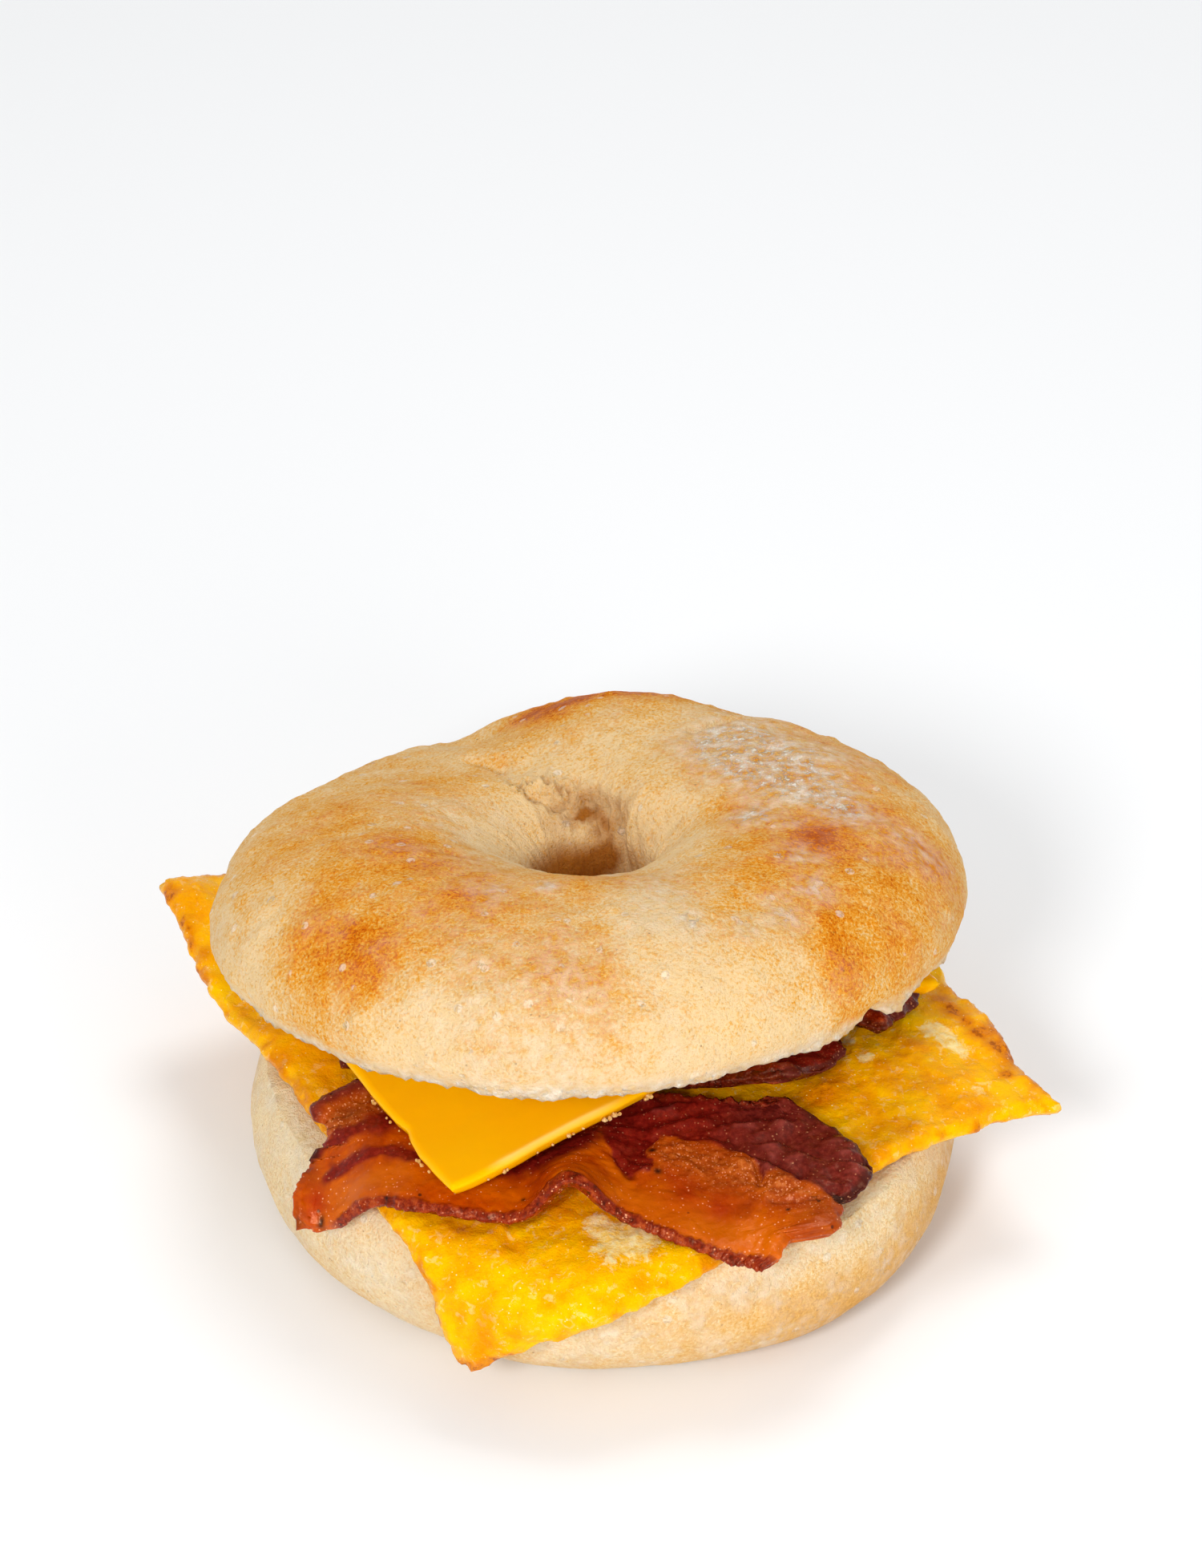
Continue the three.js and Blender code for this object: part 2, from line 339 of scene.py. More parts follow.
def crown_relief(points, cut, torn, between_lumps):
    """How far the crust stands out or dips, in mm."""
    x, y, z = points.T
    radius = np.hypot(x, y)
    direction = direction_of(x, y)
    high = ramp(z, 6, 10)
    height = 0.35 * bumps(points, 15, 1) + 0.12 * bumps(points, 4.5, 2) + 0.07 * bumps(points, 1.6, 3)
    height = height - 1.5 * groove(x, y, (-15.5, 25), (-11.5, 22), 1.3)
    height = height - 1.2 * groove(x, y, (16.2, 22.6), (23, 27), 0.8) * high
    height = height - 0.6 * groove(x, y, (-18, -12.8), (-14.5, -14.3), 0.7) * high
    height = height + 0.25 * ramp(cells(points, 5.5, 4), 0.24, 0.08) * ramp(radius, 20, 28)
    height = height - torn * (1.3 * between_lumps - 0.5 + 0.3 * bumps(points, 1.1, 8))
    for start, end, width, depth in TEARS:
        height = height - depth * groove(x, y, start, end, width) * ramp(z, 4, 7)
    pulled = flat_points(direction * 0.16, z * 0.3)
    height = height + 0.22 * bumps(pulled, 1, 9) * ramp(radius, 16, 9) * ramp(z, 1, 5)
    height = height + 0.2 * bumps(points, 0.8, 10) * ramp(z, 2.2, 0.8) * ramp(radius, 40, 45)
    pores = ramp(cells(points, 1.7, 5), 0.35, 0.1)
    return mix(height, -0.5 * pores - 0.3 * bumps(points, 2.5, 6), cut)


def ragged_rim(points, cut_radius, seed):
    """Moves the rim of the cut face in and out, so that it looks torn by the knife."""
    x, y, z = points.T
    near = hump(z, 1.3) * ramp(np.hypot(x, y), cut_radius - 4, cut_radius - 0.5)
    out = 1 + near * (0.004 * bumps(points, 1, seed) + 0.003 * bumps(points, 5, seed + 1))
    down = near * 0.22 * bumps(points, 0.9, seed + 2)
    return np.column_stack([x * out, y * out, z + down])


def nick_rim(points):
    """Lifts the crown's rim a little where the knife has slipped."""
    x, y, z = points.T
    near = hump(z, 2.5) * ramp(np.hypot(x, y), CROWN["cut_radius"] - 4, CROWN["cut_radius"] - 0.5)
    lift = sum(rise * facing(direction_of(x, y), towards, spread) for towards, spread, rise in RIM_NICKS)
    return np.column_stack([x, y, z + lift * near])


def crown_place(points):
    """Tips the upper half and sets it down where it lies."""
    x, y, z = points.T
    tilt, roll = CROWN["tilt"], CROWN["roll"]
    x, z = x * math.cos(roll) - z * math.sin(roll), x * math.sin(roll) + z * math.cos(roll)
    y, z = y * math.cos(tilt) + z * math.sin(tilt), z * math.cos(tilt) - y * math.sin(tilt)
    return np.column_stack([x, y, z]) + CROWN["middle"]


# x, y, spread and strength, in the upper half's own frame
TOASTED = [
    (-33, -34.5, 5.5, 0.45),
    (-38, -28.5, 4.5, 0.3),
    (-28, -39.5, 4.5, 0.42),
    (-33, 4, 7, 0.1),
    (-24, -12, 9, 0.17),
    (-15, -20, 8, 0.13),
    (-2, -22, 8, 0.13),
    (8, -24, 8, 0.08),
    (-4, 40, 7, 0.4),
    (-8, 42, 3.5, 0.28),
    (-1, 38, 4, 0.45),
    (8, 39, 6, 0.4),
    (33, -12.5, 3.8, 0.48),
    (38, -10, 14, 0.12),
    (30, -18, 6, 0.1),
    (35.5, -31.5, 3.4, 0.35),
    (34.5, -36.5, 3.8, 0.5),
    (24, -4, 7, 0.1),
    (48, -16, 9, 0.25),
    (50.5, -8, 5, 0.3),
    (42.5, -28, 6, 0.35),
    (22, 8, 8, 0.15),
    (-13, -31, 6, 0.22),
    (-29, -22, 6, 0.12),
]
PALE = [
    (0, 0, 17, 0.5),
    (13, -12, 8, 0.3),
    (2, 24, 11, 0.22),
    (16, 26, 9, 0.15),
    (-34, 16, 8, 0.12),
    (9, -28, 6, 0.22),
    (10, -35, 6, 0.25),
    (13, -42, 7, 0.25),
    (19, -47, 8, 0.2),
    (-43, -26, 5, 0.25),
    (-40, -17, 6, 0.15),
    (-22, -47, 8, 0.15),
]
FLOURED = [
    (24.5, 10, 6.5, 1.2),
    (31, 2.5, 5.5, 1.3),
    (37.5, -4, 4, 0.9),
    (20, 17, 6, 0.9),
    (24, 24, 8, 0.6),
    (34, 12, 9, 0.5),
    (24, -6, 3.2, 1),
    (29, -9, 2.5, 0.5),
    (30, -19, 3.2, 0.6),
    (31.5, -26, 2.6, 0.7),
    (27, -33, 3, 0.8),
    (22, -37, 2.2, 0.6),
    (15, -37, 1.8, 0.9),
    (46, -9, 6, 0.45),
    (-14, -16, 9, 0.25),
    (-19, 3, 7, 0.35),
    (5, -17, 3, 0.6),
    (-4, -27, 2, 0.9),
    (-12, -28, 3, 0.4),
    (-14, -46, 10, 0.25),
    (0, -50, 14, 0.3),
    (10, -26, 5, 0.4),
    (11, -34, 5, 0.35),
]
# where the funnel's wall is torn, and where painted shade makes its crumb dark amber, in the same way
TORN = [
    (-8.5, 15.4, 2.2, 1),
    (-5.5, 14.8, 2.6, 1),
    (-2, 14, 2.6, 1),
    (1.2, 12, 2.2, 0.8),
    (3.6, 9.6, 1.8, 0.4),
    (5.6, 7.6, 1.5, 0.3),
]
# painted shade: dark amber spots where shade and bounced light fall on the torn wall inside the hole
HOLE_SHADE_SPOTS = [
    (0.6, 12.3, 1.7, 1),
    (2.3, 10.9, 1.4, 0.5),
    (3, 9.5, 1.6, 0.5),
    (4.5, 8.3, 1.5, 0.55),
    (-1.1, 11, 1.5, 0.4),
    (-4, 9.4, 2, 0.3),
    (-2.7, 14.6, 2, 0.2),
    (6.8, 7.4, 1, 0.3),
    (-8.9, 15.6, 0.7, 0.4),
]
# start, end, width and depth of the tears in the funnel's back wall
TEARS = [
    ((-9.5, 16.5), (-6.7, 13.4), 0.9, 1.3),
    ((-6.7, 13.4), (-1.5, 11.6), 0.9, 1.5),
    ((-0.6, 12.4), (1.6, 12.2), 1.3, 1.8),
    ((3.1, 11.6), (6.1, 6.5), 0.7, 1),
]
# direction in degrees, distance from the axis, spread, rise
CROWN_DENTS = [
    (111, 43.5, 5.5, -2.0), (112, 47, 5, -1.8), (34, 38, 6.5, -0.8), (34, 45, 6, -0.8), (53, 42, 5, -1.1),
    (-58, 18, 7, -1.2),
]
# direction and spread in degrees, rise
RIM_NICKS = [(-40, 2.5, 1.6), (-50, 6, -1), (-33, 3.5, -1.4), (-24, 5, 0.8)]


def build_crown(finish):
    mesh = ring_mesh(CROWN, "bagel_upper_half", 0.5, 470)
    points = get_points(mesh)
    cut = cut_face_share(CROWN, points)
    points = crown_form(nick_rim(ragged_rim(points, CROWN["cut_radius"], 11)))
    set_points(mesh, points)
    torn, between_lumps = torn_crumb(points)
    emboss(mesh, crown_relief(points, cut, torn, between_lumps))
    points = get_points(mesh)
    x, y, z = points.T
    toast = 0.07 + 0.12 * ramp(z, 3.5, 12) + 0.22 * ramp(z, 11, 18) + spots(x, y, TOASTED) - spots(x, y, PALE)
    toast = toast + (0.11 * bumps(points, 11, 21) + 0.07 * bumps(points, 3.5, 22)) * ramp(z, 3, 9)
    toast = toast - 0.3 * ramp(z, 3, 0.5)
    flour = spots(x, y, FLOURED) + 0.8 * ramp(z, 3, 0.5) + 0.05 + 0.12 * bumps(points, 6, 23)
    # painted shade: the depth attribute darkens the crumb to amber down the hole, on the torn wall and
    # between its lumps, standing in for shade and bounced light
    shade_down_the_hole = ramp(z, 11, 6.5) * ramp(np.hypot(x, y), 9.6, 8.2)
    depth = shade_down_the_hole + spots(x, y, HOLE_SHADE_SPOTS) * ramp(z, 4, 7) + 0.35 * torn * ramp(between_lumps, 0.4, 0.8)
    give(mesh, "toast", toast * (1 - cut))
    give(mesh, "flour", flour * (1 - cut))
    give(mesh, "depth", depth * (1 - cut))
    give(mesh, "cut", cut)
    set_points(mesh, crown_place(points))
    return piece_from(mesh, "upper_half", "bagel_top", finish)


def build_heel(finish):
    mesh = ring_mesh(HEEL, "bagel_lower_half", 0.6, 440)
    points = get_points(mesh)
    cut = cut_face_share(HEEL, points)
    x, y, z = ragged_rim(points, HEEL["cut_radius"], 31).T
    round_by = outline(HEEL, direction_of(x, -y))
    set_points(mesh, np.column_stack([x * round_by, y * round_by, z]))
    points = get_points(mesh)
    above_base = ramp(points[:, 2], HEEL["height"] - 0.3, HEEL["height"] - 3)
    height = 0.25 * bumps(points, 17, 32) + 0.06 * bumps(points, 5, 33) + 0.03 * bumps(points, 1.6, 34)
    emboss(mesh, height * above_base * (1 - cut))
    points = get_points(mesh)
    x, y, z = points.T
    toast = 0.18 + 0.12 * bumps(points, 12, 35) + 0.2 * ramp(z, 10, 19)
    toast = toast + 0.65 * ramp(x, 0, 45) * ramp(z, 2, 10) - 0.12 * ramp(x, -20, -45)
    give(mesh, "toast", toast * (1 - cut))
    give(mesh, "flour", (0.35 + 0.3 * bumps(points, 5, 36)) * (1 - cut))
    give(mesh, "depth", np.zeros_like(x))
    give(mesh, "cut", cut)
    set_points(mesh, np.column_stack([x, -y, HEEL["height"] - z]))
    return piece_from(mesh, "lower_half", "bagel_bottom", finish)


# ---------------------------------------------------------------- sheets


def slab_mesh(name, columns, rows):
    """A flat slab whose vertices are (a, b, side): a and b from 0 to 1, and side from -1 to 1."""
    bm = bmesh.new()
    bmesh.ops.create_grid(bm, x_segments=columns, y_segments=rows, size=0.5)
    extruded = bmesh.ops.extrude_face_region(bm, geom=bm.faces[:], use_keep_orig=True)
    upper = [item for item in extruded["geom"] if isinstance(item, bmesh.types.BMVert)]
    bmesh.ops.translate(bm, verts=upper, vec=(0, 0, 1))
    upright = [e for e in bm.edges if abs(e.verts[0].co.z - e.verts[1].co.z) > 0.5]
    bmesh.ops.subdivide_edges(bm, edges=upright, cuts=5)
    bmesh.ops.transform(bm, matrix=SLAB_TO_PARAMETERS, verts=bm.verts)
    bmesh.ops.recalc_face_normals(bm, faces=bm.faces)
    return mesh_of(bm, name)


SLAB_TO_PARAMETERS = Matrix(
    (
        (1, 0, 0, 0.5),
        (0, 1, 0, 0.5),
        (0, 0, 2, -1),
        (0, 0, 0, 1),
    )
)


def bend_sheet(mesh, size, thickness, middle, rim, ragged):
    """Bends the slab to its middle surface, with thinner and ragged edges.

    size is its length and width, and ragged the depth, spacing and seed of the raggedness. rim says
    over what distance the sheet thins towards its rim and to what share of its thickness, how far its
    underside is tucked in there, how far its side bulges and how far the rim is pushed out. All but
    the share are in mm. It returns a, b, side and the distance to the rim of every vertex.
    """
    a, b, side = get_points(mesh).T
    length, width = size
    near_a, near_b = np.minimum(a, 1 - a) * length, np.minimum(b, 1 - b) * width
    to_rim = np.minimum(near_a, near_b)
    taper, share, tucked, bulge, grow = rim
    depth, spacing, seed = ragged
    edge = bumps(flat_points(a * length, b * width), spacing, seed) * depth + grow - tucked * (1 - side) / 2
    rounded = bulge * np.sqrt(1 - side**2)
    out_a = edge * hump(near_a, 2.5 + depth) + np.where(near_a < 1e-4, rounded, 0)
    out_b = edge * hump(near_b, 2.5 + depth) + np.where(near_b < 1e-4, rounded, 0)
    step = 1e-3
    here = middle(a, b)
    by_a, by_b = middle(a + step, b) - here, middle(a, b + step) - here
    normal = unit(np.cross(by_a, by_b))
    shoulder = np.sqrt(1 - np.square(1 - np.clip(to_rim / taper, 0, 1)))
    up = thickness / 2 * mix(share, 1, shoulder) * side
    moved = normal * up[:, None]
    moved = moved + unit(np.cross(by_b, normal)) * np.where(a > 0.5, out_a, -out_a)[:, None]
    moved = moved + unit(np.cross(normal, by_a)) * np.where(b > 0.5, out_b, -out_b)[:, None]
    set_points(mesh, here + moved)
    return a, b, side, to_rim


# taper, share, tucked, bulge and grow of each kind of sheet's rim
EGG_RIM = (1.4, 0.5, 0, 0.4, 0.4)
CHEESE_RIM = (0.35, 0.62, 0.8, 0.1, 0)
BACON_RIM = (2.2, 0.36, 0, 0.4, 0.6)


# ---------------------------------------------------------------- egg


def egg_flat(a, b):
    front, right = np.array(EGG["front"]), np.array(EGG["right"])
    back, left = np.array(EGG["back"]), np.array(EGG["left"])
    outward = (right - front)[[1, 0]] * (1, -1)
    outward = outward / np.linalg.norm(outward)
    bow = 3 * np.sin(2 * math.pi * a) + 1.5 * np.sin(math.pi * a) - 1.3 * hump(a - 0.95, 0.1)
    front_side = front + a[:, None] * (right - front) + outward * bow[:, None]
    back_side = left + a[:, None] * (back - left)
    near_right = 0.9 * hump(b - 0.09, 0.04) - 0.8 * hump(b, 0.035) - 0.9 * hump(b - 0.19, 0.07)
    sideways = 1.7 * hump(b - 0.8, 0.13) * ramp(a, 0.2, 0) + near_right * ramp(a, 0.8, 1)
    sideways = sideways + 1.3 * hump(b - 0.03, 0.06) * ramp(a, 0.08, 0)
    return front_side + b[:, None] * (back_side - front_side) - sideways[:, None] * EGG["rightward"]


def egg_middle(a, b):
    x, y = egg_flat(a, b).T
    reach = np.hypot(x, y)
    direction = direction_of(x, y)
    forward = facing(direction, -105, 45)
    out_x, out_y = mix(x / reach, 0, forward), mix(y / reach, -1, forward)
    edge_y = np.sqrt(np.maximum(0, EGG["fold_start"] ** 2 - x**2))
    past = np.maximum(0, mix(reach - EGG["fold_start"], -y - edge_y, forward))
    steep = np.max([angle * facing(direction, to, spread) for to, spread, angle in EGG_HANGS], axis=0)
    hang = np.radians(steep)
    bent = np.minimum(past, EGG["fold_radius"] * hang)
    turn = bent / EGG["fold_radius"]
    out = EGG["fold_radius"] * np.sin(turn) + (past - bent) * np.cos(hang)
    drop = EGG["fold_radius"] * (1 - np.cos(turn)) + (past - bent) * np.sin(hang)
    curl = 6 * hump(np.hypot(x - EGG["left"][0], y - EGG["left"][1]), 17)
    return np.column_stack([x + out_x * (out - past), y + out_y * (out - past), EGG["level"] - drop + curl])


# x, y, spread and strength from the lower half's centre
EGG_BROWNED = [
    (-19.5, -41, 2.4, 0.8),
    (-17, -40.5, 2.4, 0.4),
    (-15.8, -52.1, 1.8, 0.7),
    (-18.8, -50.6, 0.8, 0.5),
    (-19, -54, 1.8, 0.35),
    (-20, -47, 2, 0.2),
    (31, -11.5, 4.2, 0.84),
    (29, -14.5, 2.5, 0.5),
    (48, 8.5, 1.8, 0.9),
    (49.7, 5.8, 1.8, 1.2),
    (51.4, 3.6, 1, 1.2),
    (52.6, 1.2, 1.2, 1.2),
    (54.2, 2, 1.6, 0.9),
    (54.8, -1, 1.3, 1),
    (57, -1.5, 1.8, 0.8),
    (58.5, -4, 2.4, 0.8),
    (56.3, -6.9, 1, 1.3),
    (55, -4.5, 2.2, 0.4),
    (50.5, -14.2, 3, 0.5),
    (40.4, -10.3, 1.8, 0.35),
    (43.7, -10.6, 1.8, 0.45),
    (47, -11.7, 1.8, 0.4),
    (38.6, -21, 4, 0.4),
    (42, -20, 2, 0.5),
    (-57, 17, 1.5, 0.9),
    (-60, 22, 3, 0.5),
    (-60, 27, 4, 0.4),
    (-48, 0, 2.5, 0.25),
    (-13, -56, 3, 0.3),
]
EGG_CREAM = [
    (-1, -39.5, 3, 0.9),
    (4.5, -43, 4.5, 1.1),
    (0, -46, 3, 0.5),
    (-9, -47, 3, 0.25),
    (-12, -51.5, 2, 0.5),
    (34.6, -1.5, 1.6, 0.8),
    (36.7, -5.4, 1.8, 1),
    (46.5, 2, 2.4, 1),
    (48.5, -0.8, 2.4, 1),
    (50.5, -3, 1.8, 0.8),
    (52, -11.3, 1.8, 0.9),
    (55.5, -14, 1.5, 0.6),
    (-57, 22, 3, 0.4),
    (35, -17, 3, 0.6),
    (40, -13.5, 2, 0.5),
]


def build_egg(finish):
    mesh = slab_mesh("egg", 205, 195)
    _, _, side, to_rim = bend_sheet(
        mesh, EGG["size"], EGG["thickness"], egg_middle, EGG_RIM, (0.35, 3, 41)
    )
    points = get_points(mesh)
    x, y, _ = points.T
    on_top = ramp(side, -0.6, 0.9)
    free = ramp(np.hypot(x, y), 47, 52)
    relief = 0.5 * bumps(points, 9, 42) + 0.25 * bumps(points, 3.2, 43) + 0.12 * bumps(points, 1.2, 44)
    fold = groove(x, y, (-12.6, -38), (-12.2, -43.5), 0.7)
    blister = hump(np.hypot(x - 31, y + 11.5), 3.6)
    relief = relief * mix(0.8, 1, free) - 0.7 * fold + 0.5 * blister
    emboss(mesh, relief * mix(0.1, 1, on_top))
    edge_brown = hump(to_rim, 1.1) * ramp(bumps(points, 4, 45), -0.1, 0.5)
    give(mesh, "browned", spots(x, y, EGG_BROWNED) + 0.8 * edge_brown)
    give(mesh, "cream", spots(x, y, EGG_CREAM))
    # painted shade: deeper orange where the egg lies under the upper half and the bacon, less at the left
    # tip, and some on the outer part of the right flap
    inner = 1 - ramp(np.hypot(x + 1, y - 6), 40, 48) * ramp(y, 30, 0)
    inner = inner - 0.5 * ramp(x, -50, -56)
    give(mesh, "tucked", mix(inner, 0.4 * ramp(x, 46, 56), ramp(x, 22, 30)))
    return piece_from(mesh, "egg", "egg_sheet", finish)


# ---------------------------------------------------------------- cheese


# how far the cheese's front edge lies back, and its left edge to the right, at each distance along it
CHEESE_FRONT = [
    (0, 0.2), (3, -0.1), (11, -0.1), (16, 0.2), (21.5, 0.5), (26, 0.9), (31.4, 1.7), (38, 3.2), (55, 3.2),
    (58, 1.5), (60.5, -0.8), (62.5, 0.6), (65, 2.6), (68, 3.8), (72.5, 3.6), (75, 1.8), (79, 1.6),
]
CHEESE_LEFT = [(0, -0.5), (9, -0.8), (12, -0.4), (14.3, 0.2), (17, -0.3), (40, -0.3)]


def cheese_middle(a, b):
    turn = CHEESE["direction"]
    along, across = a * CHEESE["length"], b * CHEESE["depth"]
    along, across = (
        along + np.clip(1 - a, 0, 1) * along_line(across, CHEESE_LEFT) + 0.9 * a,
        across + np.clip(1 - b, 0, 1) * along_line(along, CHEESE_FRONT),
    )
    x = CHEESE["corner"][0] + along * math.cos(turn) - across * math.sin(turn)
    y = CHEESE["corner"][1] + along * math.sin(turn) + across * math.cos(turn)
    left = ramp(x, 3, -27) * ramp(y, 15, -5)
    height = CHEESE["level"] - CHEESE["left_drop"] * left - CHEESE["back_slope"] * np.maximum(0, y)
    return np.column_stack([x, y, height])


def build_cheese(finish):
    mesh = slab_mesh("cheese", 150, 100)
    size = (CHEESE["length"], CHEESE["depth"])
    a, b, side, _ = bend_sheet(mesh, size, CHEESE["thickness"], cheese_middle, CHEESE_RIM, (0.12, 9, 51))
    along = a * CHEESE["length"]
    lit = hump(b * CHEESE["depth"] - 0.5, 0.35) * ramp(along, 5, 9) * ramp(along, 28, 21)
    give(mesh, "lit_edge", lit * ramp(side, 0.5, 1))
    points = get_points(mesh)
    emboss(mesh, 0.10 * bumps(points, 16, 52) + 0.02 * bumps(points, 3, 53))
    return piece_from(mesh, "cheese", "cheese_slice", finish)


# ---------------------------------------------------------------- bacon

FRONT_STRIP = {
    "from": (-40.2, -24.2),
    "to": (36, -30.5),
    "level": 26.3,
    # mm along the strip, and mm from the centre line
    "front_edge": [
        (0, -8.6), (1.5, -8.9), (3.8, -9.4), (5, -10.4), (8.4, -10.3), (11.4, -11.6), (14.9, -12.4),
        (21, -13.2), (26.4, -14), (31, -14.3), (33.4, -13.6), (35.9, -12.1), (38, -12.1), (43.5, -12.5),
        (46.6, -13.4), (50.1, -14.5), (54, -15.8), (58.2, -16.4), (63, -17), (76.5, -17.5),
    ],
    "back_edge": [(0, 11.5), (38, 12.5), (65, 11.6), (76.5, 11.4)],
    # mm from the centre line, and mm along the strip
    "left_end": [
        (-11, 4.8), (-8.9, 1.2), (-7.3, -0.4), (-5.1, 0.2), (-3, 1.2), (-1.6, 1.8), (-1, 0.9), (-0.3, 3.2),
        (3, 3.5), (4.4, 2.8), (5.4, 1.4), (6.5, 1.8), (7.6, 3.2), (9.2, 5.6), (10.6, 8.4), (11.5, 11),
    ],
    "right_end": [
        (-18.4, 60.5), (-16.9, 64.1), (-15, 65), (-13.4, 66), (-12.9, 69.5), (-12.3, 72), (-8.7, 72.3),
        (-7.2, 71.6), (-6.4, 73.2), (-5.6, 74.4), (-2.8, 75.5), (-0.3, 76), (1.7, 74.9), (3.5, 73),
        (6.5, 71.7), (8.8, 69), (9.2, 67.2), (10.5, 65), (11.5, 61),
    ],
    "waves": [(2.5, 6, -7.5), (37.2, 4.4, 5.6), (61, 7, -2.2)],
}
MIDDLE_STRIP = {
    "from": (-35, 0.6),
    "to": (33, -6.6),
    "level": 26.35,
    "front_edge": [(0, -8.8), (41, -9.5), (55, -11), (61, -11.6), (68, -11)],
    "back_edge": [(0, 8.8), (68, 8.2)],
    "left_end": [(-9, 1), (0, 0), (9, 1)],
    "right_end": [(-11.6, 57), (-9, 61.5), (-4, 66.5), (0, 68.3), (4, 67), (8.2, 62)],
    "waves": [(60, 14, 4.5)],
}
BACK_STRIP = {
    "from": (-34, 25.5),
    "to": (44, 6),
    "level": 26.35,
    "front_edge": [(0, -10), (80, -9.5)],
    "back_edge": [(0, 10), (80, 9.5)],
    "left_end": [(-10, 1), (0, 0), (10, 1)],
    "right_end": [(-9.5, 76.5), (-2, 80.4), (4, 79), (9.5, 77)],
    "waves": [(58, 22, 4)],
}


def along_line(value, table):
    at, values = np.array(table, dtype=float).T
    return np.interp(value, at, values)


def front_edge(strip, at):
    """How far the front edge lies from the centre line, with its corners rounded."""
    return sum(along_line(at + shift, strip["front_edge"]) for shift in (-1, 0, 1)) / 3


def strip_flat(strip, a, b):
    """How far along and across the strip a point is, in mm."""
    length = math.dist(strip["from"], strip["to"])
    at = a * length
    across = mix(front_edge(strip, at), along_line(at, strip["back_edge"]), b)
    near_start = np.clip(1 - at / 20, 0, 1) ** 1.5
    near_end = np.clip(1 - (length - at) / 34, 0, 1) ** 1.5
    along = at + along_line(across, strip["left_end"]) * near_start
    return along + (along_line(across, strip["right_end"]) - length) * near_end, across


def strip_middle(strip, a, b):
    run = np.subtract(strip["to"], strip["from"])
    run = run / np.linalg.norm(run)
    along, across = strip_flat(strip, a, b)
    height = np.full_like(along, strip["level"])
    to_front = np.maximum(0, 1 - b)
    for at, spread, lift in strip["waves"]:
        height = height + lift * to_front**2.4 * hump(along - at, spread)
    x = strip["from"][0] + run[0] * along - run[1] * across
    y = strip["from"][1] + run[1] * along + run[0] * across
    return np.column_stack([x, y, height])


# the front strip's own places, as mm along it and mm across it from its centre line
LEAN_EDGE = [
    (38, 6), (40, 1.5), (41.2, -1), (42.3, -3.8), (44, -5.6), (46.6, -4.9), (46.9, -1), (47.7, 3),
    (52.9, 2.6), (56.7, 1.2), (59.1, 0.9), (61, -0.6), (61.9, -3.9), (62.4, -3.4), (63.9, -2.4),
    (66, -3), (67, -4), (70, -5.6), (72.5, -7.2), (77, -7.5),
]
UPPER_ROLL = [(0, 5.2), (3.4, 7.6), (6, 9.4), (12, 12)]
UPPER_BAND = [(1, -0.8), (3.5, 0.6), (7.1, 2.2), (10.6, 3), (16, 5), (24, 6)]
LOWER_BAND = [
    (1, -6.4), (4.5, -3.9), (7.2, -3), (10.9, -2.3), (16, -3.6), (20, -3.9), (27, -5), (32, -4.6),
    (36, -1.6), (40, 2),
]
# start, end, width and depth of the folds in the broad lean
LEAN_FOLDS = [
    ((61.6, -2), (62.1, -5), 0.55, 0.8),
    ((41.9, -2), (44.4, -5.4), 0.7, 0.7),
    ((64, -8), (70, -7.5), 0.5, 0.5),
]
# start, end and width of the smooth bright fat, and x, y, spread and strength of the other marks
BRIGHT_FAT = [
    ((36.2, -6.3), (39.2, -0.8), 1.3),
    ((39.2, -0.8), (40.6, -1), 0.8),
    ((41, -4.5), (44.5, -8), 1.2),
    ((37.5, -8.5), (44.7, -9.8), 2),
    ((44.7, -9.8), (52, -12.8), 2.2),
    ((52, -12.8), (63.5, -14.8), 2.4),
    ((7, -8.5), (14, -6.5), 2.2),
    ((14, -7), (30, -11), 1.8),
]
BROWN_FAT = [
    (45, -0.5, 2, 0.8),
    (50, 0, 3.5, 0.8),
    (55, -2.5, 3.5, 0.8),
    (60, -3, 3, 0.8),
    (65, -5.5, 3, 0.9),
    (69, -8, 2.5, 0.5),
    (5, 4, 2.6, 0.9),
    (9, 7, 3.5, 0.7),
    (14, 9, 3.5, 0.7),
]
RED_FAT = [
    (52.4, -7.7, 2, 0.8), (56.8, -10, 2.2, 0.8), (50, -5, 1.5, 0.5), (2.6, -6.8, 1.3, 0.9), (67, -9, 2, 0.4),
    (51, -11, 2.5, 0.4),
]
CHARRED = [
    (47.1, -0.1, 0.5, 1),
    (48.2, -4.4, 0.55, 1),
    (72.2, -7.2, 0.9, 1),
    (68.3, 9.2, 1.1, 0.9),
    (3.5, -8.6, 0.5, 1),
    (1.3, -1.1, 0.8, 0.8),
    (0.4, -8.6, 0.8, 0.7),
    (31, -11.6, 0.3, 1),
    (66.2, -9.9, 0.3, 1),
    (12.8, -11.2, 0.35, 1),
    (21, -8.5, 0.25, 1),
    (5, 4.8, 2.5, 0.3),
    (9, 7.8, 3.5, 0.3),
    (1.5, -4, 1.5, 0.3),
    (71, -11, 4, 0.3),
]


def front_lean(u, v, wobble):
    """Where the front strip is lean, from its bands at the left to its broad lean at the right."""
    broad = ramp(v - along_line(u + 0.7 * wobble, LEAN_EDGE) - 0.5 * wobble, -0.6, 0.6) * ramp(u, 37, 41)
    roll = hump(v - along_line(u, UPPER_ROLL), 1.6) * ramp(u, 16, 12)
    upper = hump(v - along_line(u, UPPER_BAND) - 0.7 * wobble, mix(1.3, 2.7, ramp(u, 4, 10)))
    lower = hump(v - along_line(u, LOWER_BAND) - 0.7 * wobble, mix(1.6, 3, ramp(u, 18, 28)))
    bands = np.maximum(roll, np.maximum(upper, lower * ramp(u, 1.5, 4.5)))
    return np.maximum(broad, ramp(bands, 0.15, 0.85) * ramp(u, 42, 38)), roll


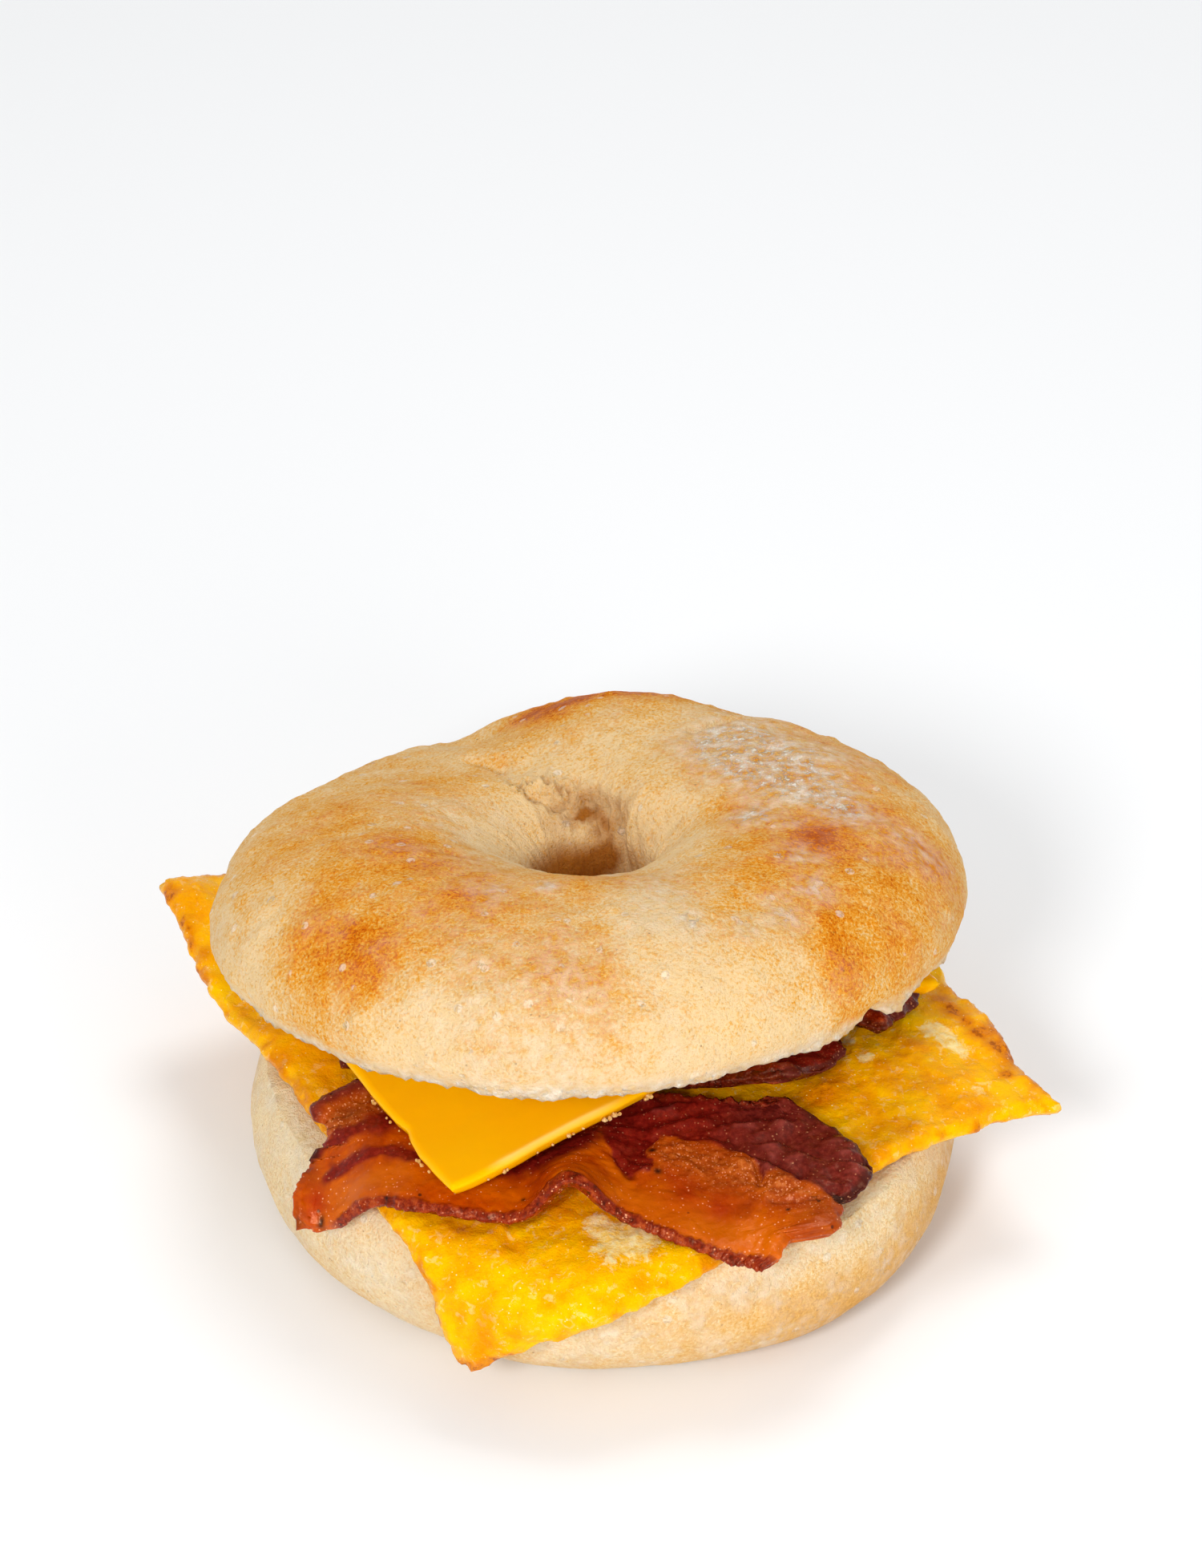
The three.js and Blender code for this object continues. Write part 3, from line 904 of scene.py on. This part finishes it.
def build_front_strip(finish):
    mesh = slab_mesh("bacon_strip_front", 300, 124)
    middle = partial(strip_middle, FRONT_STRIP)
    a, b, side, to_rim = bend_sheet(mesh, (76, 30), BACON_THICKNESS, middle, BACON_RIM, (0.3, 1.3, 61))
    u, v = strip_flat(FRONT_STRIP, a, b)
    flat = flat_points(u, v)
    top = ramp(side, -0.7, 0.7)
    wobble = bumps(flat, 3, 62)
    lean, roll = front_lean(u, v, wobble)
    at = a * math.dist(FRONT_STRIP["from"], FRONT_STRIP["to"])
    from_front = v - front_edge(FRONT_STRIP, at)
    from_back = along_line(at, FRONT_STRIP["back_edge"]) - v
    rind = ramp(from_front + 0.15 * bumps(flat, 1.5, 71), 0.8, 0.4) * ramp(u, 4, 6)
    fringe = ramp(from_back, 1.6, 0.8) * ramp(u, 40, 46) * ramp(u, 69, 66)
    brown = np.clip(spots(u, v, BROWN_FAT), 0, 1) * (1 - lean)
    broad = lean * ramp(u, 40, 46)
    folds = ramp(creases(flat * (0.6, 1.1, 1), 5, 63), 0, 0.5)
    wrinkled = 0.8 * folds - 0.5 + 0.5 * bumps(flat, 3, 72, 2)
    height = broad * wrinkled + lean * 0.05 * bumps(flat, 1.2, 64) + 0.12 * lean
    height = height + 1.1 * roll + rind * (0.25 + 0.14 * bumps(flat, 1.5, 65))
    height = height + brown * (0.3 * bumps(flat, 1.9, 66) + 0.14 * bumps(flat, 0.8, 67))
    height = height + fringe * (0.3 + 0.3 * bumps(flat, 1.2, 70))
    height = height + 1.1 * hump(np.hypot(u - 59.2, v + 1.7), 2.3)
    height = height + 0.9 * hump(np.hypot(u - 64.6, v + 4.4), 2)
    for start, end, width, depth in LEAN_FOLDS:
        height = height - depth * groove(u, v, start, end, width)
    height = height + 0.28 * bumps(flat, 6, 68) + 0.05 * bumps(flat, 0.9, 69)
    emboss(mesh, height * mix(0.15, 1, top))
    bright = np.max([groove(u, v, start, end, width) for start, end, width in BRIGHT_FAT], axis=0)
    give(mesh, "lean", lean)
    give(mesh, "rind", np.maximum(rind, 0.6 * fringe))
    give(mesh, "purple", ramp(u, 52, 61) + roll)
    give(mesh, "brown", brown + 0.6 * fringe)
    # painted highlight: paler pink on the lean's ridges and on the roll's crest, where light would catch them
    ridge_highlights = ramp(wrinkled + 0.15 * bumps(flat, 0.8, 73), 0.15, 0.6)
    give(mesh, "painted_ridge_highlight", broad * ridge_highlights + 0.3 * ramp(roll, 0.6, 1))
    give(mesh, "bright", bright)
    give(mesh, "red", spots(u, v, RED_FAT))
    burnt_end = 0.6 * ramp(to_rim, 1, 0.3) * ramp(u, 68, 72) * ramp(v, -8, -6)
    give(mesh, "char", spots(u, v, CHARRED) + burnt_end)
    return piece_from(mesh, "bacon_front_strip", "bacon_front", finish)


def build_hidden_strip(strip, names, width, seed, finish):
    """One of the two strips that lie mostly under the cheese and the upper half."""
    mesh = slab_mesh("bacon_strip", 230, 62)
    length = math.dist(strip["from"], strip["to"])
    middle = partial(strip_middle, strip)
    size = (length, width)
    a, b, side, to_rim = bend_sheet(mesh, size, BACON_THICKNESS, middle, BACON_RIM, (0.3, 1.5, seed))
    u, v = strip_flat(strip, a, b)
    flat = flat_points(u, v)
    top = ramp(side, -0.7, 0.7)
    bands = 0.5 * np.sin(v * 0.9 + 0.5 * bumps(flat, 9, seed + 1)) + 0.3 * bumps(flat, 5, seed + 2)
    lean = np.maximum(ramp(bands, -0.2, 0.2), ramp(u, length - 22, length - 14))
    roll = hump(b * width - 1.2, 1.4)
    wrinkles = ramp(creases(flat * (0.7, 1.1, 1), 4.4, seed + 3), 0, 0.6)
    height = lean * (0.4 * wrinkles - 0.3) + 0.3 * bumps(flat, 3, seed + 4) + 0.06 * bumps(flat, 1, seed + 5)
    height = height + roll * (0.8 + 0.4 * bumps(flat, 1.4, seed + 6))
    emboss(mesh, height * mix(0.15, 1, top))
    give(mesh, "lean", lean)
    give(mesh, "rind", ramp(b * width, 1.9, 1.1))
    give(mesh, "purple", 0.3 + 0.3 * bumps(flat, 6, seed + 7))
    give(mesh, "brown", np.full_like(u, 0.4))
    # painted highlight: paler pink on the wrinkles' ridges and on the rolled edge
    ridge_highlights = ramp(wrinkles + 0.3 * bumps(flat, 1.2, seed + 9), 0.8, 1.3)
    give(mesh, "painted_ridge_highlight", ridge_highlights + 0.4 * ramp(roll, 0.7, 1))
    give(mesh, "bright", 0.3 + 0.4 * bumps(flat, 7, seed + 8))
    give(mesh, "red", np.zeros_like(u))
    give(mesh, "char", 0.5 * ramp(to_rim, 0.8, 0.2))
    return piece_from(mesh, names[0], names[1], finish)


# ---------------------------------------------------------------- crumbs


def build_crumbs(finish):
    """Crumbs of bread caught on the cheese's edges, as (share along, share across, size)."""
    places = [
        (0.065, -0.004, 0.25), (0.096, -0.006, 0.38), (0.104, -0.004, 0.3), (0.165, -0.002, 0.25),
        (0.194, -0.004, 0.3), (0.228, -0.004, 0.38), (0.237, -0.006, 0.3), (0.258, -0.002, 0.25),
        (0.3, -0.008, 0.5), (0.309, -0.012, 0.4), (0.32, -0.006, 0.5), (0.327, -0.012, 0.4),
        (0.392, -0.004, 0.55), (0.4, -0.008, 0.4), (-0.003, 0.114, 0.28), (-0.004, 0.15, 0.42),
        (-0.002, 0.165, 0.4), (-0.004, 0.172, 0.3), (-0.003, 0.24, 0.22), (-0.003, 0.3, 0.2),
        (-0.004, 0.343, 0.36), (-0.003, 0.36, 0.25), (-0.004, 0.43, 0.4), (-0.003, 0.44, 0.3),
    ]
    a, b, sizes = np.array(places).T
    centres = cheese_middle(a + 0.003, b + 0.006) - (0, 0, 0.2)
    bm = bmesh.new()
    for index, (centre, size) in enumerate(zip(centres, sizes)):
        made = bmesh.ops.create_icosphere(bm, subdivisions=3, radius=0.65 * size)
        for vert in made["verts"]:
            vert.co *= 1 + 1.1 * noise.noise(vert.co * 2.6 + Vector((index * 5.0, 0, 0)))
        bmesh.ops.translate(bm, verts=made["verts"], vec=Vector(centre))
    mesh = mesh_of(bm, "crumbs")
    give(mesh, "toast", np.full(len(mesh.vertices), 0.45))
    return piece_from(mesh, "crumbs_on_cheese", None, finish)


# ---------------------------------------------------------------- finishes


def colour(code):
    """A linear colour from its six hexadecimal digits."""
    shares = [int(code[i : i + 2], 16) / 255 for i in (0, 2, 4)]
    return tuple(c / 12.92 if c <= 0.04045 else ((c + 0.055) / 1.055) ** 2.4 for c in shares) + (1.0,)


class Finish:
    """A procedural material whose patterns are measured in mm on the finished piece."""

    def __init__(self, name):
        self.material = bpy.data.materials.new(name)
        self.material.use_nodes = True
        self.tree = self.material.node_tree
        self.shader = self.tree.nodes["Principled BSDF"]
        place = self.node("ShaderNodeTexCoord").outputs["Object"]
        mapping = self.node("ShaderNodeMapping", Vector=place)
        mapping.inputs["Scale"].default_value = (1000, 1000, 1000)
        self.place = mapping.outputs["Vector"]

    def node(self, kind, settings=None, **inputs):
        made = self.tree.nodes.new(kind)
        for key, value in (settings or {}).items():
            setattr(made, key, value)
        for key, value in inputs.items():
            self.plug(made.inputs[key.replace("_", " ")], value)
        return made

    def plug(self, socket, value):
        if isinstance(value, bpy.types.NodeSocket):
            self.tree.links.new(value, socket)
        else:
            socket.default_value = value

    def attribute(self, name):
        return self.node("ShaderNodeAttribute", {"attribute_name": name}).outputs["Fac"]

    def noise(self, size, detail=3, roughness=0.55, distortion=0.0):
        made = self.node(
            "ShaderNodeTexNoise", Vector=self.place, Scale=1 / size, Detail=detail,
            Roughness=roughness, Distortion=distortion,
        )
        return made.outputs["Fac"]

    def cells(self, size):
        made = self.node("ShaderNodeTexVoronoi", Vector=self.place, Scale=1 / size)
        return made.outputs["Distance"]

    def math(self, operation, first, second):
        made = self.node("ShaderNodeMath", {"operation": operation})
        self.plug(made.inputs[0], first)
        self.plug(made.inputs[1], second)
        return made.outputs[0]

    def plus(self, first, second):
        return self.math("ADD", first, second)

    def times(self, first, second):
        return self.math("MULTIPLY", first, second)

    def larger(self, first, second):
        return self.math("MAXIMUM", first, second)

    def stir(self, value, pattern, amount):
        """The value made larger and smaller by a pattern that lies around one half."""
        centred = self.math("SUBTRACT", pattern, 0.5)
        return self.plus(value, self.times(centred, amount))

    def between(self, value, low, high):
        """0 at low and 1 at high, whichever is larger, smooth between."""
        made = self.node("ShaderNodeMapRange", {"interpolation_type": "SMOOTHSTEP"}, Value=value)
        self.plug(made.inputs["From Min"], min(low, high))
        self.plug(made.inputs["From Max"], max(low, high))
        made.inputs["To Min"].default_value = 0.0 if low < high else 1.0
        made.inputs["To Max"].default_value = 1.0 if low < high else 0.0
        return made.outputs["Result"]

    def blend(self, share, first, second):
        made = self.node("ShaderNodeMix", {"data_type": "RGBA"})
        self.plug(made.inputs[0], share)
        self.plug(made.inputs[6], colour(first) if isinstance(first, str) else first)
        self.plug(made.inputs[7], colour(second) if isinstance(second, str) else second)
        return made.outputs[2]

    def gradient(self, share, stops):
        made = self.node("ShaderNodeValToRGB", Fac=share)
        elements = made.color_ramp.elements
        while len(elements) < len(stops):
            elements.new(0.5)
        for element, (at, code) in zip(elements, stops):
            element.position = at
            element.color = colour(code)
        return made.outputs["Color"]

    def painted_glints(self, spacing, share, patch_size):
        """Painted highlights: tiny wet-looking glints, in patches."""
        dots = self.between(self.cells(spacing), share, 0.6 * share)
        return self.times(dots, self.between(self.noise(patch_size, 4, 0.6), 0.42, 0.58))

    def bump(self, height, distance, strength=1.0):
        """Relief of that depth in mm."""
        made = self.node("ShaderNodeBump", Height=height, Strength=strength, Distance=distance * MM)
        self.plug(self.shader.inputs["Normal"], made.outputs["Normal"])

    def set(self, **inputs):
        for key, value in inputs.items():
            self.plug(self.shader.inputs[key.replace("_", " ")], value)

    def shine(self, level, tint):
        self.shader.inputs["Specular IOR Level"].default_value = level
        self.shader.inputs["Specular Tint"].default_value = (*tint, 1)

    def soften(self, weight, reach, distances):
        """Light that goes in and comes out again up to reach mm away."""
        self.set(Subsurface_Weight=weight, Subsurface_Scale=reach * MM, Subsurface_Radius=distances)


def bread_finish(name, stops, flour_colour):
    finish = Finish(name)
    grain = finish.noise(0.45, 3, 0.7)
    blotch = finish.noise(2.4, 5, 0.68)
    toast = finish.stir(finish.attribute("toast"), blotch, 0.55)
    tone = finish.gradient(finish.stir(toast, grain, 1.8), stops)
    dots = finish.times(finish.between(finish.cells(1.7), 0.13, 0.06), finish.between(blotch, 0.45, 0.6))
    tone = finish.blend(finish.times(dots, 0.6), tone, "8a4f1c")
    flour = finish.attribute("flour")
    lace = finish.noise(0.9, 6, 0.74, 0.4)
    flecks = finish.between(finish.stir(flour, lace, 3.6), 0.98, 1.35)
    haze = finish.times(flour, finish.between(finish.noise(1.8, 5, 0.75), 0.35, 0.65))
    flakes = finish.times(finish.between(finish.cells(4.6), 0.17, 0.12), finish.between(lace, 0.42, 0.5))
    dusted = finish.larger(finish.times(haze, 0.75), finish.times(flecks, 0.95))
    dusted = finish.larger(dusted, finish.times(flakes, 0.45))
    tone = finish.blend(dusted, tone, flour_colour)
    # painted shade: dark amber where the depth attribute marks shade down the hole and in the torn wall
    tone = finish.blend(finish.times(finish.attribute("depth"), 0.95), tone, "a25c0c")
    crumb = finish.blend(finish.between(finish.noise(1.2, 4), 0.35, 0.65), "efd6a6", "fbeccb")
    tone = finish.blend(finish.attribute("cut"), tone, crumb)
    finish.set(Base_Color=tone, Roughness=0.62)
    finish.shine(0.08, (1, 0.8, 0.5))
    finish.soften(0.12, 1.2, (1.0, 0.55, 0.25))
    relief = finish.plus(finish.times(grain, 0.8), finish.times(blotch, 0.6))
    relief = finish.plus(relief, finish.times(dusted, 0.4))
    finish.bump(relief, 0.6)
    return finish.material


CRUST_STOPS = [
    (0.0, "efcd98"), (0.2, "ebbc76"), (0.4, "e8a642"), (0.6, "e48e16"), (0.8, "d66e04"), (1.0, "b65002"),
]
BREAD_STOPS = [(0.0, "f9dfb2"), (0.3, "efc789"), (0.65, "e7ae5c"), (1.0, "d69a4c")]


def egg_finish():
    finish = Finish("cooked_egg")
    cloud = finish.noise(4.5, 6, 0.65)
    fine = finish.noise(1.1, 5, 0.68)
    tone = finish.gradient(cloud, [(0.34, "f4a000"), (0.47, "fdb400"), (0.62, "ffc300")])
    # painted shade: deeper orange where the tucked attribute marks the egg lying in shade
    tone = finish.blend(finish.times(finish.attribute("tucked"), 0.5), tone, "ffa400")
    curds = finish.noise(1.8, 6, 0.68, 0.5)
    cream = finish.between(finish.stir(finish.attribute("cream"), curds, 2.0), 0.55, 0.85)
    scattered = finish.times(finish.between(finish.noise(1.6, 6, 0.72, 0.6), 0.56, 0.62), 0.35)
    creamy = finish.gradient(fine, [(0.35, "fdca50"), (0.6, "ffeaae")])
    tone = finish.blend(finish.larger(finish.times(cream, 0.92), scattered), tone, creamy)
    browned = finish.attribute("browned")
    patchy = finish.plus(fine, 0.35)
    tone = finish.blend(finish.times(browned, patchy), tone, "d06c00")
    dark = finish.times(finish.between(browned, 0.85, 1.0), finish.between(fine, 0.48, 0.6))
    tone = finish.blend(finish.times(dark, 0.7), tone, "8c4206")
    # painted highlights: pale yellow glints on the egg
    tone = finish.blend(finish.times(finish.painted_glints(0.9, 0.14, 3), 0.8), tone, "fff0a8")
    finish.set(Base_Color=tone, Roughness=0.2)
    finish.shine(0.24, (1, 0.7, 0.03))
    finish.soften(0.25, 1.2, (1.0, 0.5, 0.04))
    relief = finish.plus(fine, finish.times(finish.noise(0.4, 3), 0.4))
    finish.bump(relief, 0.3)
    return finish.material


def cheese_finish():
    finish = Finish("sliced_cheese")
    tone = finish.blend(finish.noise(14, 2), "ffb400", "ffbe00")
    tone = finish.blend(finish.times(finish.attribute("lit_edge"), 0.7), tone, "ffdc7c")
    finish.set(Base_Color=tone, Roughness=0.28)
    finish.shine(0.2, (1, 0.7, 0.05))
    finish.soften(0.2, 2, (1.0, 0.5, 0.08))
    finish.bump(finish.noise(2.4, 3), 0.05, 0.5)
    return finish.material


def bacon_finish():
    finish = Finish("fried_bacon")
    cloud = finish.noise(3.5, 5, 0.62, 0.4)
    fine = finish.noise(0.7, 4, 0.68)
    fat = finish.gradient(cloud, [(0.3, "9c3400"), (0.5, "ba4800"), (0.68, "ce5e00")])
    fat = finish.blend(finish.times(finish.attribute("bright"), 0.7), fat, "d86a00")
    brown_share = finish.attribute("brown")
    brown = finish.gradient(fine, [(0.3, "7c2a06"), (0.5, "a84a10"), (0.7, "d07a38")])
    fat = finish.blend(finish.times(brown_share, 0.85), fat, brown)
    fat = finish.blend(finish.times(finish.attribute("red"), 0.75), fat, "ac2604")
    red = finish.gradient(fine, [(0.3, "62100a"), (0.5, "7a160f"), (0.72, "942618")])
    purple = finish.gradient(fine, [(0.3, "501412"), (0.5, "6a1c17"), (0.72, "863228")])
    meat = finish.blend(finish.attribute("purple"), red, purple)
    # painted highlight: pale pink over the lean where the ridge attribute marks its ridges
    meat = finish.blend(finish.times(finish.attribute("painted_ridge_highlight"), 0.35), meat, "ac5048")
    tone = finish.blend(finish.attribute("lean"), fat, meat)
    skin = finish.gradient(finish.noise(1.3, 5, 0.75), [(0.34, "4c0e02"), (0.5, "842006"), (0.68, "b44c1c")])
    tone = finish.blend(finish.attribute("rind"), tone, skin)
    speck = finish.times(finish.between(finish.cells(4.2), 0.09, 0.05), 0.8)
    charred = finish.times(finish.attribute("char"), finish.plus(fine, 0.55))
    tone = finish.blend(finish.larger(speck, finish.math("MINIMUM", charred, 0.95)), tone, "1f0a08")
    # painted highlights: pink glints, dense on the brown fat and fewer on the lean
    dense_painted_glints = finish.times(brown_share, finish.between(finish.cells(0.5), 0.3, 0.16))
    painted_glints = finish.larger(finish.painted_glints(0.7, 0.22, 3.5), finish.times(dense_painted_glints, 0.8))
    spared = finish.math("SUBTRACT", 0.75, finish.times(finish.attribute("lean"), 0.4))
    tone = finish.blend(finish.times(painted_glints, spared), tone, "f4a878")
    finish.set(Base_Color=tone, Roughness=0.18)
    finish.shine(0.4, (1, 0.5, 0.3))
    finish.soften(0.12, 1.2, (1.0, 0.3, 0.08))
    relief = finish.plus(finish.times(fine, 0.6), finish.times(finish.noise(0.3, 3), 0.4))
    finish.bump(relief, 0.1)
    return finish.material


# ---------------------------------------------------------------- setting

# the floor and the lights are placed in metres, the camera in mm, and it looks down by so many degrees
FLOOR_REACH = 3
LIGHTS_AIM = Vector((0, 0, 0.03))
CAMERA = {"place": np.array([-0.17, -521.39, 450.5]), "looks_down": 36.247, "lens": 110}


def build_floor():
    bm = bmesh.new()
    bmesh.ops.create_grid(bm, x_segments=1, y_segments=1, size=FLOOR_REACH)
    mesh = mesh_of(bm, "floor")
    finish = Finish("pale_floor")
    finish.set(Base_Color=(0.92, 0.93, 0.94, 1), Roughness=0.7)
    mesh.materials.append(finish.material)
    floor = bpy.data.objects.new("floor", mesh)
    bpy.context.scene.collection.objects.link(floor)


def add_area_light(name, place, size, power):
    light = bpy.data.lights.new(name, "AREA")
    light.shape = "DISK"
    light.size = size
    light.energy = power
    holder = bpy.data.objects.new(name, light)
    holder.location = place
    holder.rotation_euler = (LIGHTS_AIM - Vector(place)).to_track_quat("-Z", "Y").to_euler()
    bpy.context.scene.collection.objects.link(holder)


def build_lights():
    world = bpy.data.worlds.new("studio")
    world.use_nodes = True
    world.node_tree.nodes["Background"].inputs["Color"].default_value = (1, 1, 1, 1)
    world.node_tree.nodes["Background"].inputs["Strength"].default_value = 0.58
    bpy.context.scene.world = world
    add_area_light("key_light", (-0.25, -0.7, 0.55), 0.22, 4.0)
    add_area_light("fill_light", (0.45, -0.75, 0.3), 0.5, 2.2)
    add_area_light("top_light", (0.1, 0.3, 0.9), 0.4, 2.3)


def build_camera():
    camera = bpy.data.cameras.new("camera")
    camera.lens = CAMERA["lens"]
    camera.sensor_width = 36
    camera.clip_start = 0.01
    holder = bpy.data.objects.new("camera", camera)
    holder.location = (CAMERA["place"] - WHOLE_MIDDLE) * MM
    holder.rotation_euler = (math.radians(90 - CAMERA["looks_down"]), 0, 0)
    bpy.context.scene.collection.objects.link(holder)
    bpy.context.scene.camera = holder


crust = bread_finish("golden_crust", CRUST_STOPS, "fff3e2")
bread = bread_finish("pale_bread", BREAD_STOPS, "fff4e2")
bacon = bacon_finish()

build_heel(bread)
build_egg(egg_finish())
build_front_strip(bacon)
build_hidden_strip(MIDDLE_STRIP, ("bacon_middle_strip", "bacon_middle"), 17, 71, bacon)
build_hidden_strip(BACK_STRIP, ("bacon_back_strip", "bacon_back"), 19.5, 81, bacon)
build_cheese(cheese_finish())
build_crown(crust)
build_crumbs(bread)
build_floor()
build_lights()
build_camera()
bpy.context.scene.view_settings.view_transform = "Standard"
